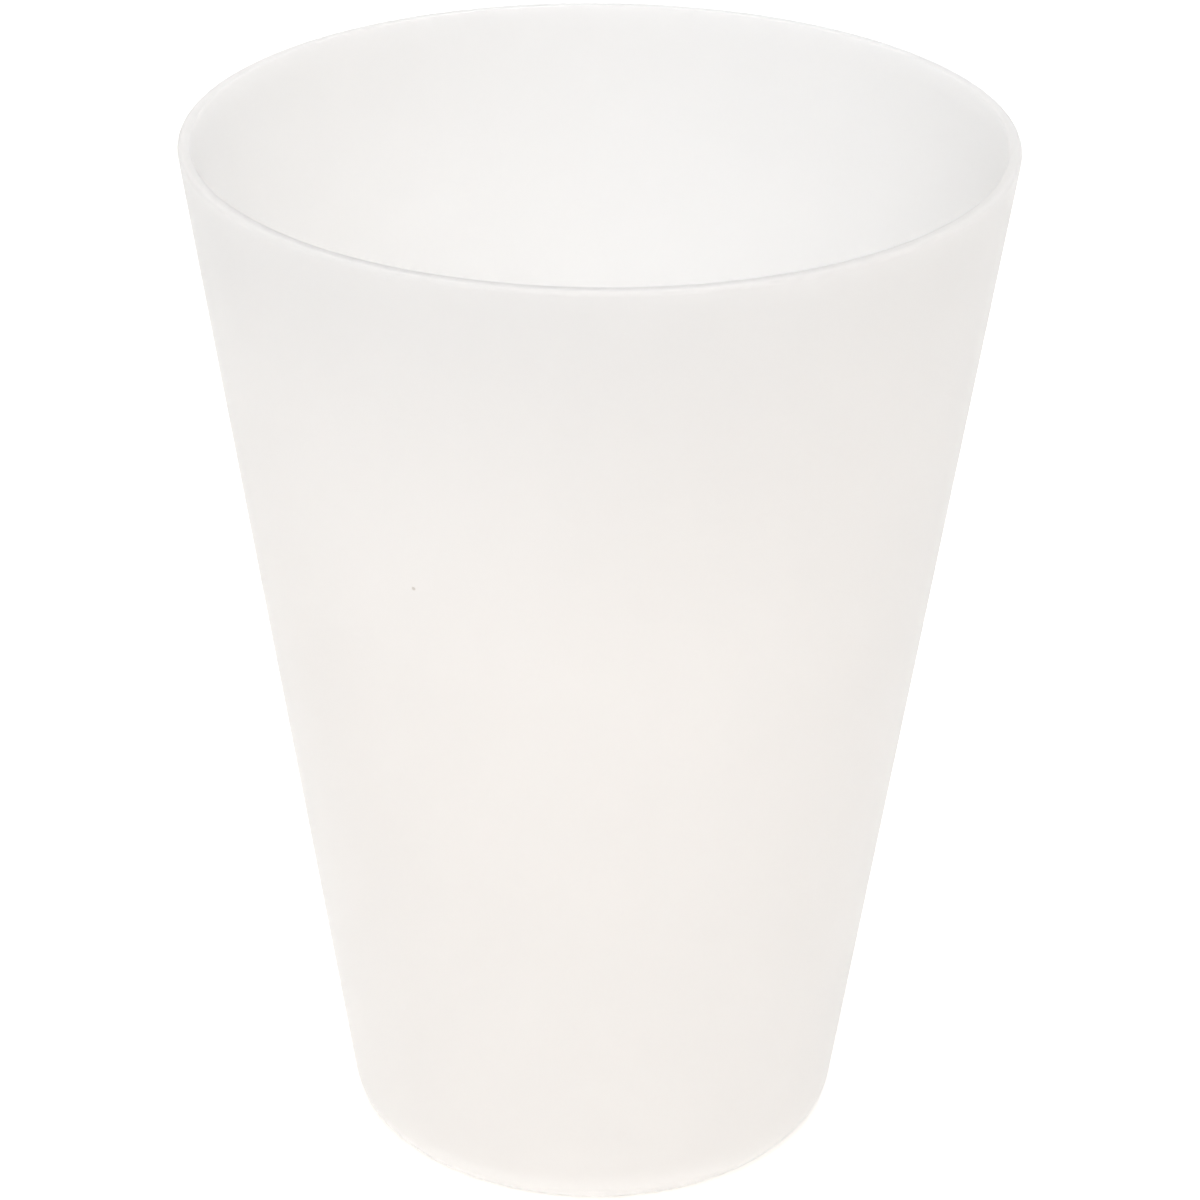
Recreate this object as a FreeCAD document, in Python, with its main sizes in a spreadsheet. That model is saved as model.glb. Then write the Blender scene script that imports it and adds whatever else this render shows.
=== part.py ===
import FreeCAD, Part
import os
import Sketcher

# A reusable drinking cup, injection-moulded in one piece from frosted polypropylene.
#
# The cup is a plain tapered beaker that holds about half a litre. Its thin wall is a straight
# cone, a little thicker at the base than at the rim. The lip is flat on top, with a round on its
# outer edge for drinking and a small break on the inner edge, where the core of the mould ends.
# A generous radius turns the wall into a narrow foot ring, which is all that touches the table.
# Inside the ring the underside is raised, and the floor of the cup follows it at an even
# thickness, so that the moulding has no thick place: a flat middle, a slope and a shallow
# gutter that a radius joins to the wall. The plastic was injected at the centre of the
# underside, where a short stub is left in a dimple.
#
# Frame: millimetres, +Z up along the axis of the cup, origin at the centre of the foot ring,
# on the surface that the cup stands on.

PARTS_FOLDER = "parts"

# Driving dimensions in millimetres: alias, value, meaning.
SIZES = [
    ("rim_diameter", 90.0, "outside diameter at the rim, before the lip is rounded"),
    ("cup_height", 120.0, "from the table to the rim"),
    ("base_diameter", 57.0, "where the outside of the wall, run on straight, would meet the table"),
    ("wall_at_rim", 1.4, "wall thickness at the rim, square to the wall"),
    ("wall_at_base", 1.5, "wall thickness at the floor, square to the wall"),
    ("lip_round", 0.5, "radius of the lip's outer edge"),
    ("lip_break", 0.2, "bevel of the lip's inner edge"),
    ("base_edge_radius", 3.0, "outside radius from the wall to the foot ring"),
    ("floor_corner_radius", 2.0, "inside radius from the wall to the floor"),
    ("floor_thickness", 1.7, "thickness of the floor"),
    ("foot_width", 2.4, "width of the foot ring that touches the table"),
    ("recess_depth", 1.4, "height that the underside is raised inside the foot ring"),
    ("recess_slope", 3.0, "width of the slope from the foot ring up to the raised underside"),
    ("floor_blend_radius", 2.0, "rounding at the top and the bottom of the floor's slope"),
    ("gate_dimple_diameter", 7.0, "dimple at the injection point"),
    ("gate_dimple_depth", 0.4, "depth of that dimple"),
    ("gate_stub_diameter", 1.6, "stub of plastic left at the injection point"),
    ("gate_stub_length", 0.5, "length of that stub"),
]

# Sketcher's own numbers: a sketch's two axes, the points of a line or a circle, and the origin.
HORIZONTAL_AXIS, VERTICAL_AXIS = -1, -2
START, END, CENTRE = 1, 2, 3
ORIGIN = (HORIZONTAL_AXIS, START)

VOLUME_TOLERANCE = 1e-6
HEIGHT_TOLERANCE = 1e-4


def make_sheet(doc):
    """Write the driving dimensions into a spreadsheet, one aliased cell each."""
    sheet = doc.addObject("Spreadsheet::Sheet", "Sizes")
    for row, (alias, value, meaning) in enumerate(SIZES, start=1):
        sheet.set(f"A{row}", meaning)
        sheet.set(f"B{row}", str(value))
        sheet.setAlias(f"B{row}", alias)
    doc.recompute()
    return sheet


def origin_plane(body, role):
    """The body's own origin plane of that role."""
    return next(item for item in body.Origin.OriginFeatures if item.Role == role)


def new_sketch(body, name, role):
    """An empty sketch on one of the body's origin planes."""
    sketch = body.newObject("Sketcher::SketchObject", name)
    sketch.AttachmentSupport = (origin_plane(body, role), [""])
    sketch.MapMode = "FlatFace"
    return sketch


def draw_chain(sketch, corners):
    """Draw a closed chain of straight lines through the corners and join their ends.

    Returns the line numbers, one for each corner, starting at that corner.
    """
    points = [FreeCAD.Vector(x, z, 0) for x, z in corners]
    lines = []
    for here, after in zip(points, points[1:] + points[:1]):
        lines.append(sketch.addGeometry(Part.LineSegment(here, after), False))
    for line, after in zip(lines, lines[1:] + lines[:1]):
        sketch.addConstraint(Sketcher.Constraint("Coincident", line, END, after, START))
    return lines


def dimension(sketch, name, expression, kind, *where):
    """Add a named dimension to the sketch and bind it to an expression of the sheet's cells."""
    value = sketch.evalExpression(expression)
    number = sketch.addConstraint(Sketcher.Constraint(kind, *where, float(value)))
    sketch.renameConstraint(number, name)
    sketch.setExpression(f"Constraints.{name}", expression)


def draw_outer_wall(sketch, sheet):
    """Draw the outside of the wall as a construction line, from the table to the rim."""
    foot = FreeCAD.Vector(sheet.base_diameter / 2, 0, 0)
    rim = FreeCAD.Vector(sheet.rim_diameter / 2, sheet.cup_height, 0)
    wall = sketch.addGeometry(Part.LineSegment(foot, rim), True)
    sketch.addConstraint(Sketcher.Constraint("PointOnObject", wall, START, HORIZONTAL_AXIS))
    dimension(sketch, "wall_foot", "Sizes.base_diameter / 2", "DistanceX", *ORIGIN, wall, START)
    dimension(sketch, "wall_rim", "Sizes.rim_diameter / 2", "DistanceX", *ORIGIN, wall, END)
    dimension(sketch, "wall_top", "Sizes.cup_height", "DistanceY", *ORIGIN, wall, END)
    return wall


def turn(body, sketch, kind, name):
    """Revolve a section through a full turn about the cup's axis, adding or cutting."""
    feature = body.newObject(kind, name)
    feature.Profile = sketch
    feature.ReferenceAxis = (sketch, ["V_Axis"])
    feature.Angle = 360.0
    body.Document.recompute()
    return feature


def circles_at(feature, height):
    """Names of the feature's whole circles at a height, from the smallest to the largest."""
    found = []
    for number, edge in enumerate(feature.Shape.Edges, start=1):
        if not isinstance(edge.Curve, Part.Circle) or not edge.isClosed():
            continue
        if abs(edge.Curve.Center.z - height) < HEIGHT_TOLERANCE:
            found.append((edge.Curve.Radius, f"Edge{number}"))
    return [name for _, name in sorted(found)]


def dress_edges(body, name, kind, edges, size, expression):
    """Round or bevel edges of the body's last feature, with its size bound to the sheet."""
    base = body.Tip
    dressing = body.newObject(kind, name)
    dressing.Base = (base, edges)
    dressing.setExpression(size, expression)
    body.Document.recompute()


def round_edges(body, name, edges, expression):
    """Fillet edges of the body's last feature."""
    dress_edges(body, name, "PartDesign::Fillet", edges, "Radius", expression)


def bevel_edges(body, name, edges, expression):
    """Chamfer edges of the body's last feature."""
    dress_edges(body, name, "PartDesign::Chamfer", edges, "Size", expression)


def make_beaker(body):
    """The solid beaker: the outside taper turned about the axis, with its base edge rounded."""
    sheet = body.Document.Sizes
    foot, rim, top = sheet.base_diameter / 2, sheet.rim_diameter / 2, sheet.cup_height
    sketch = new_sketch(body, "OutsideSection", "XZ_Plane")
    table, wall, lid, axis = draw_chain(sketch, [(0, 0), (foot, 0), (rim, top), (0, top)])
    sketch.addConstraint(Sketcher.Constraint("Coincident", table, START, *ORIGIN))
    sketch.addConstraint(Sketcher.Constraint("Horizontal", table))
    sketch.addConstraint(Sketcher.Constraint("Horizontal", lid))
    sketch.addConstraint(Sketcher.Constraint("Vertical", axis))
    dimension(sketch, "foot", "Sizes.base_diameter / 2", "DistanceX", table, START, table, END)
    dimension(sketch, "rim", "Sizes.rim_diameter / 2", "DistanceX", *ORIGIN, wall, END)
    dimension(sketch, "top", "Sizes.cup_height", "DistanceY", *ORIGIN, wall, END)
    beaker = turn(body, sketch, "PartDesign::Revolution", "Beaker")
    round_edges(body, "BaseEdge", circles_at(beaker, 0), "Sizes.base_edge_radius")


def draw_recess_slope(sketch, sheet):
    """Draw the slope of the underside recess, from the foot ring up to the raised middle.

    A construction circle lies where the base edge's round does. Its centre is over the outer
    edge of the foot ring, so the ring's width is measured from there.
    Returns the slope's line, whose start is on the table and whose end is at the recess depth.
    """
    wall = draw_outer_wall(sketch, sheet)
    edge_radius = sheet.base_edge_radius
    centre = FreeCAD.Vector(sheet.base_diameter / 2 - 0.9 * edge_radius, edge_radius, 0)
    edge = sketch.addGeometry(Part.Circle(centre, FreeCAD.Vector(0, 0, 1), edge_radius), True)
    dimension(sketch, "edge_radius", "Sizes.base_edge_radius", "Radius", edge)
    sketch.addConstraint(Sketcher.Constraint("Tangent", edge, HORIZONTAL_AXIS))
    sketch.addConstraint(Sketcher.Constraint("Tangent", edge, wall))
    mouth = FreeCAD.Vector(centre.x - sheet.foot_width, 0, 0)
    rise = FreeCAD.Vector(-sheet.recess_slope, sheet.recess_depth, 0)
    slope = sketch.addGeometry(Part.LineSegment(mouth, mouth + rise), True)
    sketch.addConstraint(Sketcher.Constraint("PointOnObject", slope, START, HORIZONTAL_AXIS))
    dimension(sketch, "foot_width", "Sizes.foot_width", "DistanceX", slope, START, edge, CENTRE)
    dimension(sketch, "slope_rise", "Sizes.recess_depth", "DistanceY", slope, START, slope, END)
    dimension(sketch, "slope_run", "Sizes.recess_slope", "DistanceX", slope, END, slope, START)
    return wall, slope


def cut_cavity(body):
    """Hollow the beaker, leaving a tapered wall and a floor that follows the underside."""
    sheet = body.Document.Sizes
    sketch = new_sketch(body, "CavitySection", "XZ_Plane")
    outer_wall, underside = draw_recess_slope(sketch, sheet)
    slope_foot = sketch.getPoint(underside, START).x
    floor, raised = sheet.floor_thickness, sheet.floor_thickness + sheet.recess_depth
    inner_rim = sheet.rim_diameter / 2 - sheet.wall_at_rim
    inner_foot = sheet.base_diameter / 2 - sheet.wall_at_base
    middle, slope, gutter, wall, mouth, axis = draw_chain(
        sketch,
        [
            (0, raised),
            (slope_foot - sheet.recess_slope, raised),
            (slope_foot, floor),
            (inner_foot, floor),
            (inner_rim, sheet.cup_height),
            (0, sheet.cup_height),
        ],
    )
    for level in (middle, gutter, mouth):
        sketch.addConstraint(Sketcher.Constraint("Horizontal", level))
    sketch.addConstraint(Sketcher.Constraint("Vertical", axis))
    sketch.addConstraint(Sketcher.Constraint("PointOnObject", axis, START, VERTICAL_AXIS))
    sketch.addConstraint(Sketcher.Constraint("Parallel", slope, underside))
    dimension(sketch, "floor_at_slope", "Sizes.floor_thickness", "Distance", slope, END, underside)
    dimension(sketch, "gutter_height", "Sizes.floor_thickness", "DistanceY", *ORIGIN, slope, END)
    dimension(sketch, "slope_height", "Sizes.recess_depth", "DistanceY", slope, END, slope, START)
    dimension(sketch, "mouth_height", "Sizes.cup_height", "DistanceY", *ORIGIN, wall, END)
    dimension(sketch, "wall_at_rim", "Sizes.wall_at_rim", "Distance", wall, END, outer_wall)
    dimension(sketch, "wall_at_base", "Sizes.wall_at_base", "Distance", wall, START, outer_wall)
    cavity = turn(body, sketch, "PartDesign::Groove", "Cavity")
    wall_corner = circles_at(cavity, floor)[-1:]
    round_edges(body, "FloorCorner", wall_corner, "Sizes.floor_corner_radius")
    blends = circles_at(body.Tip, floor)[:1] + circles_at(body.Tip, raised)
    round_edges(body, "FloorBlend", blends, "Sizes.floor_blend_radius")


def cut_underside(body):
    """Raise the underside within the foot ring."""
    sketch = new_sketch(body, "UndersideSection", "XZ_Plane")
    _, underside = draw_recess_slope(sketch, body.Document.Sizes)
    mouth, top = sketch.getPoint(underside, START), sketch.getPoint(underside, END)
    table, slope, ceiling, axis = draw_chain(
        sketch, [(0, 0), (mouth.x, 0), (top.x, top.y), (0, top.y)]
    )
    sketch.addConstraint(Sketcher.Constraint("Coincident", table, START, *ORIGIN))
    sketch.addConstraint(Sketcher.Constraint("Coincident", slope, START, underside, START))
    sketch.addConstraint(Sketcher.Constraint("Coincident", slope, END, underside, END))
    sketch.addConstraint(Sketcher.Constraint("Horizontal", ceiling))
    sketch.addConstraint(Sketcher.Constraint("Vertical", axis))
    turn(body, sketch, "PartDesign::Groove", "Recess")


def finish_lip(body):
    """Round the outer edge of the lip and break its inner edge."""
    height = body.Document.Sizes.cup_height
    round_edges(body, "LipRound", circles_at(body.Tip, height)[-1:], "Sizes.lip_round")
    bevel_edges(body, "LipBreak", circles_at(body.Tip, height)[:1], "Sizes.lip_break")


def draw_disc(body, name, height, diameter):
    """A sketch of one circle about the axis, at a height bound to the sheet."""
    sketch = new_sketch(body, name, "XY_Plane")
    sketch.setExpression("AttachmentOffset.Base.z", height)
    radius = float(sketch.evalExpression(diameter)) / 2
    circle = sketch.addGeometry(Part.Circle(FreeCAD.Vector(), FreeCAD.Vector(0, 0, 1), radius))
    sketch.addConstraint(Sketcher.Constraint("Coincident", circle, CENTRE, *ORIGIN))
    dimension(sketch, "diameter", diameter, "Diameter", circle)
    return sketch


def make_gate(body):
    """The injection point: a dimple in the raised underside with a short stub in it."""
    ceiling = "Sizes.recess_depth"
    dimple = body.newObject("PartDesign::Pocket", "GateDimple")
    dimple.Profile = draw_disc(body, "DimpleCircle", ceiling, "Sizes.gate_dimple_diameter")
    dimple.Reversed = True
    dimple.setExpression("Length", "Sizes.gate_dimple_depth")
    body.Document.recompute()
    dimple_top = f"{ceiling} + Sizes.gate_dimple_depth"
    stub = body.newObject("PartDesign::Pad", "GateStub")
    stub.Profile = draw_disc(body, "StubCircle", dimple_top, "Sizes.gate_stub_diameter")
    stub.Reversed = True
    stub.setExpression("Length", "Sizes.gate_stub_length")
    body.Document.recompute()


def check_document(doc):
    """Stop if any object of the document failed, which a recompute doesn't raise by itself."""
    for item in doc.Objects:
        if {"Invalid", "Error"} & set(item.State):
            raise RuntimeError(f"{item.Name} failed: {item.State}")


def check_features(body):
    """Stop if a feature left no change, as when a cut points away from the solid."""
    volume = 0.0
    for feature in body.Group:
        if feature.TypeId.startswith("PartDesign::"):
            if abs(feature.Shape.Volume - volume) < VOLUME_TOLERANCE:
                raise RuntimeError(f"{feature.Name} changed nothing")
            volume = feature.Shape.Volume
            print(f"{feature.Name:14s} {volume:12.2f} mm3")


def write_part(body):
    """Write the body's one solid to the parts folder under its Label."""
    shape = body.Shape
    if shape.isNull() or not shape.isValid() or len(shape.Solids) != 1:
        raise RuntimeError(f"{body.Label} isn't one valid solid")
    os.makedirs(PARTS_FOLDER, exist_ok=True)
    shape.exportStep(os.path.join(PARTS_FOLDER, f"{body.Label}.step"))


def main():
    doc = FreeCAD.newDocument("ReusableCup")
    make_sheet(doc)
    cup = doc.addObject("PartDesign::Body", "Cup")
    cup.Label = "cup"
    make_beaker(cup)
    cut_cavity(cup)
    cut_underside(cup)
    finish_lip(cup)
    make_gate(cup)
    cup.Placement = FreeCAD.Placement()
    doc.recompute()
    check_document(doc)
    check_features(cup)
    write_part(cup)


main()
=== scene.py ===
"""A reusable drinking cup, moulded in one piece from frosted polypropylene, in a pale studio.

The cup is a solid of revolution. It is drawn out of one small circle, ring by ring: from the
injection point under the base, out over the raised underside and the foot ring, up the outside
of the wall, over the lip, down the inside and back to the middle of the floor. Its edges are
then rounded as the mould rounds them.
"""

import logging
import math
from dataclasses import dataclass, field
from enum import Enum
from typing import Any, Optional

import bmesh
import bpy
from mathutils import Matrix, Vector


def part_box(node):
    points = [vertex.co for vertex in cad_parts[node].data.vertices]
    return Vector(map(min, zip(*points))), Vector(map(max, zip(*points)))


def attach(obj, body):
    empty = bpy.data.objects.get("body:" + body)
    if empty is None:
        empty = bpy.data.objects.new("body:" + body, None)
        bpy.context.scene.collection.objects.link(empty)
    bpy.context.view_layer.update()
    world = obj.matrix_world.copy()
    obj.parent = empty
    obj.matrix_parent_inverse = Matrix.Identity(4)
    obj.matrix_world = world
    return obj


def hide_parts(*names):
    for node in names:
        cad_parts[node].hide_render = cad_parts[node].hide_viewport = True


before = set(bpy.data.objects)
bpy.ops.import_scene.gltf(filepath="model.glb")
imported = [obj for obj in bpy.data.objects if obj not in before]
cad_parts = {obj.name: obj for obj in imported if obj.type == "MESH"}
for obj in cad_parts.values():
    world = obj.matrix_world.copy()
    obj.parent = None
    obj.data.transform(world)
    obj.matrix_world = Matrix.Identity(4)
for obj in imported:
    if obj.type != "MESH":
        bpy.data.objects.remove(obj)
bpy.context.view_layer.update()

log = logging.getLogger("cup")

MM = 0.001
CUP_NODE = "cup"

# A colour mix node's sockets go by number, because its other kinds of mix share their names.
MIX_SHARE, MIX_FIRST, MIX_SECOND, MIX_RESULT = 0, 6, 7, 2


def linear_colour(code: str) -> tuple[float, float, float, float]:
    """Turn an sRGB hex value into a linear colour, by the sRGB standard's own curve.

    Args:
        code: Six hex digits, such as "f5f0ec".

    Returns:
        Linear red, green and blue, and an alpha of 1.
    """
    channels = [int(code[i:i + 2], 16) / 255 for i in (0, 2, 4)]
    linear = [c / 12.92 if c <= 0.04045 else ((c + 0.055) / 1.055) ** 2.4 for c in channels]
    return (*linear, 1.0)


def add_node(
    tree: bpy.types.NodeTree,
    kind: str,
    settings: Optional[dict[str, Any]] = None,
    inputs: Optional[dict[str | int, Any]] = None,
) -> bpy.types.Node:
    """Add a shader node with its settings, its input values and its links.

    Args:
        tree: The node tree that takes the node.
        kind: The node's type, such as "ShaderNodeTexNoise".
        settings: The node's own properties and their values.
        inputs: For an input's name or number, a value or the output that is linked to it.

    Returns:
        The new node.
    """
    node = tree.nodes.new(kind)
    for name, value in (settings or {}).items():
        setattr(node, name, value)
    for name, value in (inputs or {}).items():
        if isinstance(value, bpy.types.NodeSocket):
            tree.links.new(value, node.inputs[name])
        else:
            node.inputs[name].default_value = value
    return node


class EdgeForm(Enum):
    """How finely an edge's arc is drawn: the number of faces across it."""

    BREAK = 3
    SMALL_ROUND = 8
    ROUND = 12


@dataclass(frozen=True)
class Corner:
    """A corner of the section: a ring of the mesh, and the arc that its edge is rounded with."""

    radius: float
    height: float
    rounding: float = 0.0
    form: EdgeForm = EdgeForm.BREAK
    steps: int = 1

    def turn(self, before: "Corner", after: "Corner") -> float:
        """The angle by which the section turns at this corner.

        Args:
            before: The corner that the section comes from.
            after: The corner that it goes on to.

        Returns:
            The angle in radians, 0 where the section runs straight on.
        """
        coming = Vector((self.radius - before.radius, self.height - before.height))
        going = Vector((after.radius - self.radius, after.height - self.height))
        return coming.angle(going)


@dataclass
class Lathe:
    """Draws a closed solid of revolution about the Z axis out of one circle, in edit mode."""

    name: str
    sides: int = 192
    same_place: float = 0.001 * MM
    crease: float = math.radians(20)
    obj: Optional[bpy.types.Object] = field(default=None, init=False)

    def build(self, section: list[Corner]) -> bpy.types.Object:
        """Model the solid from its section and finish it.

        Args:
            section: The corners in order, from beside the axis round and back to beside it.

        Returns:
            The finished object, at the origin.
        """
        self.start(section[0])
        for before, corner in zip(section, section[1:]):
            self.draw_on(before, corner)
        self.close(section[-1])
        ends = [Corner(0, section[0].height), Corner(0, section[-1].height)]
        chain = [ends[0], *section, ends[1]]
        for before, corner, after in zip(chain, chain[1:], chain[2:]):
            if corner.rounding:
                self.round_edge(corner, corner.turn(before, after))
        return self.finish()

    def start(self, corner: Corner) -> None:
        """Add the first ring, closed over its centre, and open it for editing."""
        bpy.ops.object.select_all(action="DESELECT")
        bpy.ops.mesh.primitive_circle_add(
            vertices=self.sides,
            radius=corner.radius,
            fill_type="TRIFAN",
            location=(0, 0, corner.height),
        )
        self.obj = bpy.context.object
        self.obj.name = self.obj.data.name = self.name
        bpy.ops.object.transform_apply(location=True, rotation=True, scale=True)
        bpy.ops.object.mode_set(mode="EDIT")
        bpy.ops.mesh.select_mode(type="EDGE")

    def draw_on(self, before: Corner, corner: Corner) -> None:
        """Extrude the open ring from one corner to the next, in the corner's steps.

        Args:
            before: Where the open ring is.
            corner: Where it goes.
        """
        self.select_ring(before)
        radius, rise = before.radius, (corner.height - before.height) / corner.steps
        for step in range(1, corner.steps + 1):
            new = before.radius + (corner.radius - before.radius) * step / corner.steps
            bpy.ops.mesh.extrude_edges_move(TRANSFORM_OT_translate={"value": (0, 0, rise)})
            bpy.ops.transform.resize(
                value=(new / radius, new / radius, 1),
                center_override=(0, 0, before.height + rise * step),
            )
            radius = new

    def close(self, corner: Corner) -> None:
        """Close the last ring with faces that meet on the axis."""
        self.select_ring(corner)
        bpy.ops.mesh.edge_face_add()
        bpy.ops.mesh.poke()

    def round_edge(self, corner: Corner, turn: float) -> None:
        """Round the edge along a ring with an arc that meets both of its sides smoothly.

        Args:
            corner: The ring, with the arc's radius.
            turn: The angle by which the section turns there, in radians.
        """
        self.select_ring(corner)
        bpy.ops.mesh.bevel(
            offset_type="OFFSET",
            offset=corner.rounding * math.tan(turn / 2),
            segments=corner.form.value,
            profile=0.5,
            affect="EDGES",
            clamp_overlap=False,
        )

    def select_ring(self, corner: Corner) -> None:
        """Select only the edges that lie along a ring."""
        bpy.ops.mesh.select_all(action="DESELECT")
        mesh = bmesh.from_edit_mesh(self.obj.data)
        for edge in mesh.edges:
            if all(self.is_on_ring(vertex.co, corner) for vertex in edge.verts):
                edge.select_set(True)
        bmesh.update_edit_mesh(self.obj.data)

    def is_on_ring(self, place: Vector, corner: Corner) -> bool:
        """Whether a point lies on a ring."""
        away = Vector((place.xy.length - corner.radius, place.z - corner.height))
        return away.length < self.same_place

    def finish(self) -> bpy.types.Object:
        """Merge doubles, turn the faces outwards and shade the broad faces true.

        Returns:
            The finished object.
        """
        bpy.ops.mesh.select_all(action="SELECT")
        bpy.ops.mesh.remove_doubles(threshold=self.same_place)
        bpy.ops.mesh.normals_make_consistent(inside=False)
        bpy.ops.object.mode_set(mode="OBJECT")
        bpy.ops.object.shade_smooth_by_angle(angle=self.crease)
        weighted = self.obj.modifiers.new("Broad faces first", "WEIGHTED_NORMAL")
        weighted.keep_sharp = True
        bpy.ops.object.modifier_apply(modifier=weighted.name)
        return self.obj


@dataclass
class Cup:
    """The cup: a thin straight cone of a wall on a base of even thickness with a foot ring."""

    height: float
    lip_radius: float
    base_radius: float = 28.5 * MM
    wall_at_rim: float = 1.4 * MM
    wall_at_base: float = 1.5 * MM
    lip_round: float = 0.5 * MM
    lip_break: float = 0.23 * MM
    base_edge_radius: float = 3.0 * MM
    floor_corner_radius: float = 2.0 * MM
    floor_thickness: float = 1.7 * MM
    foot_width: float = 2.4 * MM
    recess_depth: float = 1.4 * MM
    recess_slope: float = 3.0 * MM
    floor_blend_radius: float = 2.0 * MM
    dimple_radius: float = 3.5 * MM
    dimple_depth: float = 0.4 * MM
    stub_radius: float = 0.8 * MM
    stub_length: float = 0.5 * MM
    edge_break: float = 0.12 * MM
    wall_steps: int = 16

    @property
    def lean(self) -> float:
        """The angle between the outside of the wall and the axis."""
        return math.atan2(self.lip_radius - self.base_radius, self.height)

    @property
    def rim_radius(self) -> float:
        """The outside radius at the rim, before the lip is rounded."""
        rounded_off = (1 + math.sin(self.lean)) / math.cos(self.lean) - 1
        return self.lip_radius + self.lip_round * rounded_off

    @property
    def foot_inner_radius(self) -> float:
        """The inner radius of the foot ring, which starts where the base edge's arc ends."""
        arc_centre = self.base_radius - self.base_edge_radius * (
            1 / math.cos(self.lean) - math.tan(self.lean)
        )
        return arc_centre - self.foot_width

    def inside_radius(self, height: float) -> float:
        """The radius of the inside of the wall at a height."""
        foot = self.base_radius - self.wall_at_base / math.cos(self.lean)
        rim = self.rim_radius - self.wall_at_rim / math.cos(self.lean)
        return foot + (rim - foot) * height / self.height

    def underside(self) -> list[Corner]:
        """The section from the injection stub to the foot ring.

        Returns:
            Its corners, outwards from the axis.
        """
        ceiling = self.recess_depth + self.dimple_depth
        foot = self.foot_inner_radius
        return [
            Corner(self.stub_radius, ceiling - self.stub_length, self.edge_break),
            Corner(self.stub_radius, ceiling),
            Corner(self.dimple_radius, ceiling),
            Corner(self.dimple_radius, self.recess_depth, self.edge_break),
            Corner(foot - self.recess_slope, self.recess_depth, self.edge_break),
            Corner(foot, 0, self.edge_break),
        ]

    def wall(self) -> list[Corner]:
        """The section up the outside of the wall, over the lip and down the inside.

        Returns:
            Its corners, from the base edge to the corner of the floor.
        """
        rim, inside = self.rim_radius, self.inside_radius
        floor = self.floor_thickness
        round_, steps = EdgeForm.ROUND, self.wall_steps
        return [
            Corner(self.base_radius, 0, self.base_edge_radius, round_),
            Corner(rim, self.height, self.lip_round, EdgeForm.SMALL_ROUND, steps),
            Corner(inside(self.height), self.height, self.lip_break),
            Corner(inside(floor), floor, self.floor_corner_radius, round_, steps),
        ]

    def floor(self) -> list[Corner]:
        """The section over the floor, which follows the underside at an even thickness.

        Returns:
            The corners at the foot and the top of its slope.
        """
        slope = math.atan2(self.recess_depth, self.recess_slope)
        spread = self.floor_thickness * (1 / math.cos(slope) - 1) / math.tan(slope)
        gutter = self.foot_inner_radius + spread
        raised = self.floor_thickness + self.recess_depth
        blend = (self.floor_blend_radius, EdgeForm.SMALL_ROUND)
        return [
            Corner(gutter, self.floor_thickness, *blend),
            Corner(gutter - self.recess_slope, raised, *blend),
        ]

    def build(self, finish: bpy.types.Material) -> bpy.types.Object:
        """Model the cup and dress it.

        Args:
            finish: The cup's material.

        Returns:
            The finished piece.
        """
        cup = Lathe("frosted_cup").build([*self.underside(), *self.wall(), *self.floor()])
        cup.data.materials.append(finish)
        return cup


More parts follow.
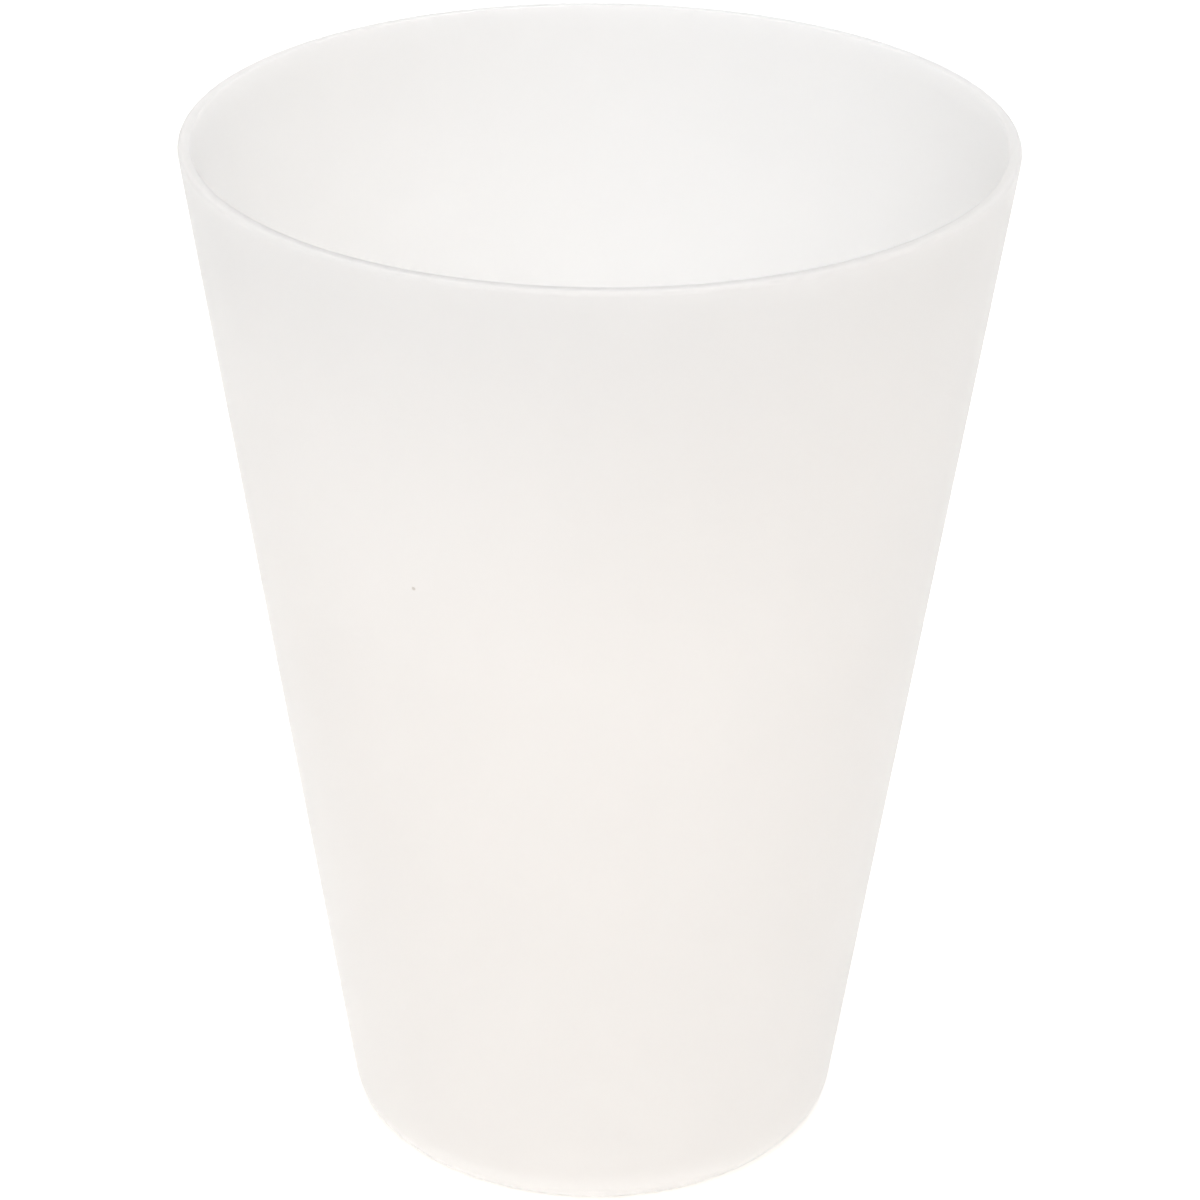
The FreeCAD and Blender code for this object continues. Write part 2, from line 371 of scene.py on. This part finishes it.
@dataclass(frozen=True)
class FrostedPolypropylene:
    """Natural polypropylene, injection-moulded against a finely blasted mould.

    The eye sees a milky, warm white that is soft rather than shiny: the blasting spreads every
    reflection, and light enters the wall and leaves it again a little further on. Faint clouds
    show where the melt flowed up the wall, and a few specks of dust are moulded in.
    """

    milk: str = "f6f4f2"
    cloud: str = "f3f1ef"
    speck: str = "cfc8bf"
    ior: float = 1.49
    roughness: float = 0.52
    roughness_spread: tuple[float, float] = (-0.03, 0.04)
    # Light spreads this far inside the plastic, and the tint is each colour's share of it.
    light_depth: float = 25 * MM
    light_tint: tuple[float, float, float] = (1.0, 0.99, 0.98)
    cloud_size: float = 26 * MM
    cloud_squeeze: float = 0.4
    cloud_range: tuple[float, float] = (0.35, 0.68)
    speck_spacing: float = 15 * MM
    speck_radius: float = 0.2 * MM
    speck_blur: float = 0.3
    # The blasting's own grain is about 0.05 mm, too fine to show, so it is drawn coarser.
    grain_size: float = 0.3 * MM
    grain_depth: float = 0.004 * MM
    patch_size: float = 5 * MM
    patch_range: tuple[float, float] = (0.3, 0.7)

    def build(self) -> bpy.types.Material:
        """Make the material.

        Returns:
            The material, on Object coordinates in metres.
        """
        material = bpy.data.materials.new("milky_polypropylene")
        material.use_nodes = True
        tree = material.node_tree
        shader = tree.nodes["Principled BSDF"]
        place = add_node(tree, "ShaderNodeTexCoord").outputs["Object"]
        tree.links.new(self.colour(tree, place), shader.inputs["Base Color"])
        tree.links.new(self.dullness(tree, place), shader.inputs["Roughness"])
        tree.links.new(self.grain(tree, place), shader.inputs["Normal"])
        shader.inputs["IOR"].default_value = self.ior
        shader.inputs["Subsurface Weight"].default_value = 1.0
        shader.inputs["Subsurface Radius"].default_value = self.light_tint
        shader.inputs["Subsurface Scale"].default_value = self.light_depth
        return material

    def colour(
        self, tree: bpy.types.NodeTree, place: bpy.types.NodeSocket
    ) -> bpy.types.NodeSocket:
        """The milky body with its flow clouds and its specks.

        Args:
            tree: The material's nodes.
            place: The Object coordinates.

        Returns:
            The colour's output.
        """
        along_flow = add_node(
            tree,
            "ShaderNodeMapping",
            inputs={"Vector": place, "Scale": (1, 1, self.cloud_squeeze)},
        )
        clouds = add_node(
            tree,
            "ShaderNodeTexNoise",
            inputs={
                "Vector": along_flow.outputs["Vector"],
                "Scale": 1 / self.cloud_size,
                "Detail": 1.0,
            },
        )
        spread = add_node(
            tree,
            "ShaderNodeMapRange",
            {"interpolation_type": "SMOOTHSTEP"},
            {
                "Value": clouds.outputs["Fac"],
                "From Min": self.cloud_range[0],
                "From Max": self.cloud_range[1],
            },
        )
        body = add_node(
            tree,
            "ShaderNodeMix",
            {"data_type": "RGBA"},
            {
                MIX_SHARE: spread.outputs["Result"],
                MIX_FIRST: linear_colour(self.milk),
                MIX_SECOND: linear_colour(self.cloud),
            },
        )
        cells = add_node(
            tree,
            "ShaderNodeTexVoronoi",
            inputs={"Vector": place, "Scale": 1 / self.speck_spacing},
        )
        edge = self.speck_radius / self.speck_spacing
        inside = add_node(
            tree,
            "ShaderNodeMapRange",
            inputs={
                "Value": cells.outputs["Distance"],
                "From Min": edge * (1 + self.speck_blur),
                "From Max": edge * (1 - self.speck_blur),
            },
        )
        specked = add_node(
            tree,
            "ShaderNodeMix",
            {"data_type": "RGBA"},
            {
                MIX_SHARE: inside.outputs["Result"],
                MIX_FIRST: body.outputs[MIX_RESULT],
                MIX_SECOND: linear_colour(self.speck),
            },
        )
        return specked.outputs[MIX_RESULT]

    def dullness(
        self, tree: bpy.types.NodeTree, place: bpy.types.NodeSocket
    ) -> bpy.types.NodeSocket:
        """The roughness, which varies a little where hands and stacking have burnished it.

        Args:
            tree: The material's nodes.
            place: The Object coordinates.

        Returns:
            The roughness's output.
        """
        patches = add_node(
            tree,
            "ShaderNodeTexNoise",
            inputs={"Vector": place, "Scale": 1 / self.patch_size, "Detail": 2.0},
        )
        varied = add_node(
            tree,
            "ShaderNodeMapRange",
            inputs={
                "Value": patches.outputs["Fac"],
                "From Min": self.patch_range[0],
                "From Max": self.patch_range[1],
                "To Min": self.roughness + self.roughness_spread[0],
                "To Max": self.roughness + self.roughness_spread[1],
            },
        )
        return varied.outputs["Result"]

    def grain(
        self, tree: bpy.types.NodeTree, place: bpy.types.NodeSocket
    ) -> bpy.types.NodeSocket:
        """The fine matt grain that the blasted mould leaves.

        Args:
            tree: The material's nodes.
            place: The Object coordinates.

        Returns:
            The normal's output.
        """
        noise = add_node(
            tree,
            "ShaderNodeTexNoise",
            inputs={"Vector": place, "Scale": 1 / self.grain_size, "Detail": 1.0},
        )
        bump = add_node(
            tree,
            "ShaderNodeBump",
            inputs={"Height": noise.outputs["Fac"], "Distance": self.grain_depth},
        )
        return bump.outputs["Normal"]


class Tone(Enum):
    """The colour of a lamp's light."""

    WARM = "fff5ec"
    NEUTRAL = "ffffff"
    COOL = "deefff"


@dataclass(frozen=True)
class SoftBox:
    """A square panel of soft light that faces the cup.

    Its azimuth and elevation are in degrees from the cup's front and from level, its distance
    and size in metres, and its power in watts.
    """

    name: str
    azimuth: float
    elevation: float
    distance: float
    size: float
    power: float
    tone: Tone = Tone.NEUTRAL

    def build(self, target: Vector) -> bpy.types.Object:
        """Hang the panel.

        Args:
            target: What it faces.

        Returns:
            The lamp.
        """
        turn, rise = math.radians(self.azimuth), math.radians(self.elevation)
        outward = Vector(
            (
                math.sin(turn) * math.cos(rise),
                -math.cos(turn) * math.cos(rise),
                math.sin(rise),
            )
        )
        bpy.ops.object.light_add(type="AREA", location=target + outward * self.distance)
        lamp = bpy.context.object
        lamp.name = lamp.data.name = self.name
        lamp.rotation_euler = outward.to_track_quat("Z", "Y").to_euler()
        lamp.data.shape = "SQUARE"
        lamp.data.size = self.size
        lamp.data.energy = self.power
        lamp.data.color = linear_colour(self.tone.value)[:3]
        lamp.visible_camera = False
        return lamp


@dataclass(frozen=True)
class Studio:
    """The pale floor, the soft lamps and the even light of the room."""

    floor_radius: float = 1.6
    floor_sides: int = 96
    floor_gap: float = 0.02 * MM
    floor_colour: str = "f9f9f8"
    floor_roughness: float = 0.9
    # The board glows a little, which whitens it and lights the cup from below.
    floor_glow: float = 0.25
    room_colour: str = "ffffff"
    room_strength: float = 0.02
    lamps: tuple[SoftBox, ...] = (
        SoftBox("key_front", 0, 40, 1.8, 1.2, 22.4, Tone.WARM),
        SoftBox("overhead", 0, 90, 1.8, 1.4, 25.2),
        SoftBox("fill_left", -90, 18, 1.8, 0.9, 4.3),
        SoftBox("back_high", 180, 50, 1.8, 1.2, 6.0),
        SoftBox("back_left", -135, 20, 1.8, 1.0, 1.1, Tone.COOL),
        SoftBox("back_right", 135, 20, 1.8, 1.0, 4.0, Tone.COOL),
    )

    def build(self, target: Vector) -> None:
        """Lay the floor and light it.

        Args:
            target: The point that the lamps face.
        """
        self.lay_floor()
        self.light_room()
        for lamp in self.lamps:
            lamp.build(target)
        bpy.context.scene.view_settings.view_transform = "Standard"

    def lay_floor(self) -> None:
        """Add the floor, a hair below the foot ring, not attached to the cup."""
        bpy.ops.object.select_all(action="DESELECT")
        bpy.ops.mesh.primitive_circle_add(
            vertices=self.floor_sides,
            radius=self.floor_radius,
            fill_type="NGON",
            location=(0, 0, -self.floor_gap),
        )
        floor = bpy.context.object
        floor.name = floor.data.name = "studio_floor"
        material = bpy.data.materials.new("matt_studio_board")
        material.use_nodes = True
        shader = material.node_tree.nodes["Principled BSDF"]
        shader.inputs["Base Color"].default_value = linear_colour(self.floor_colour)
        shader.inputs["Roughness"].default_value = self.floor_roughness
        shader.inputs["Specular IOR Level"].default_value = 0.0
        shader.inputs["Emission Color"].default_value = linear_colour(Tone.NEUTRAL.value)
        shader.inputs["Emission Strength"].default_value = self.floor_glow
        floor.data.materials.append(material)

    def light_room(self) -> None:
        """Give the room its even light, and a white wall beyond the floor's edge."""
        world = bpy.data.worlds.new("pale_room")
        world.use_nodes = True
        tree = world.node_tree
        light = tree.nodes["Background"]
        light.inputs["Color"].default_value = linear_colour(self.room_colour)
        light.inputs["Strength"].default_value = self.room_strength
        white = linear_colour(Tone.NEUTRAL.value)
        wall = add_node(tree, "ShaderNodeBackground", inputs={"Color": white})
        seen = add_node(tree, "ShaderNodeLightPath").outputs["Is Camera Ray"]
        room = add_node(
            tree,
            "ShaderNodeMixShader",
            inputs={
                "Fac": seen,
                1: light.outputs["Background"],
                2: wall.outputs["Background"],
            },
        )
        tree.links.new(room.outputs["Shader"], tree.nodes["World Output"].inputs["Surface"])
        bpy.context.scene.world = world


@dataclass(frozen=True)
class Viewpoint:
    """The camera, in front of the cup and above it, looking down on it.

    Its place is in metres, its angles in degrees, and its lens and sensor in millimetres.
    """

    place: tuple[float, float, float] = (0.0, -0.3612, 0.2499)
    down: float = 27.267
    roll: float = 0.471
    yaw: float = 0.066
    lens: float = 106.89
    sensor: float = 36.0

    def build(self) -> bpy.types.Object:
        """Set up the camera.

        Returns:
            The camera, which is the scene's own.
        """
        bpy.ops.object.camera_add()
        camera = bpy.context.object
        camera.matrix_world = (
            Matrix.Translation(self.place)
            @ Matrix.Rotation(-math.radians(self.yaw), 4, "Z")
            @ Matrix.Rotation(math.radians(90 - self.down), 4, "X")
            @ Matrix.Rotation(math.radians(self.roll), 4, "Z")
        )
        camera.data.lens = self.lens
        camera.data.sensor_width = self.sensor
        bpy.context.scene.camera = camera
        return camera


def main() -> None:
    logging.basicConfig(level=logging.INFO, format="%(name)s: %(message)s")
    low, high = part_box(CUP_NODE)
    middle = (low + high) / 2

    cup = Cup(height=high.z - low.z, lip_radius=(high.x - low.x) / 2).build(
        FrostedPolypropylene().build()
    )
    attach(cup, "root")
    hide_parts(CUP_NODE)
    log.info("%s: %d faces, stands for the node %s", cup.name, len(cup.data.polygons), CUP_NODE)

    studio = Studio()
    studio.build(middle)
    camera = Viewpoint().build()
    log.info("studio: %d lamps, camera lens %.1f mm", len(studio.lamps), camera.data.lens)


if __name__ == "__main__":
    main()
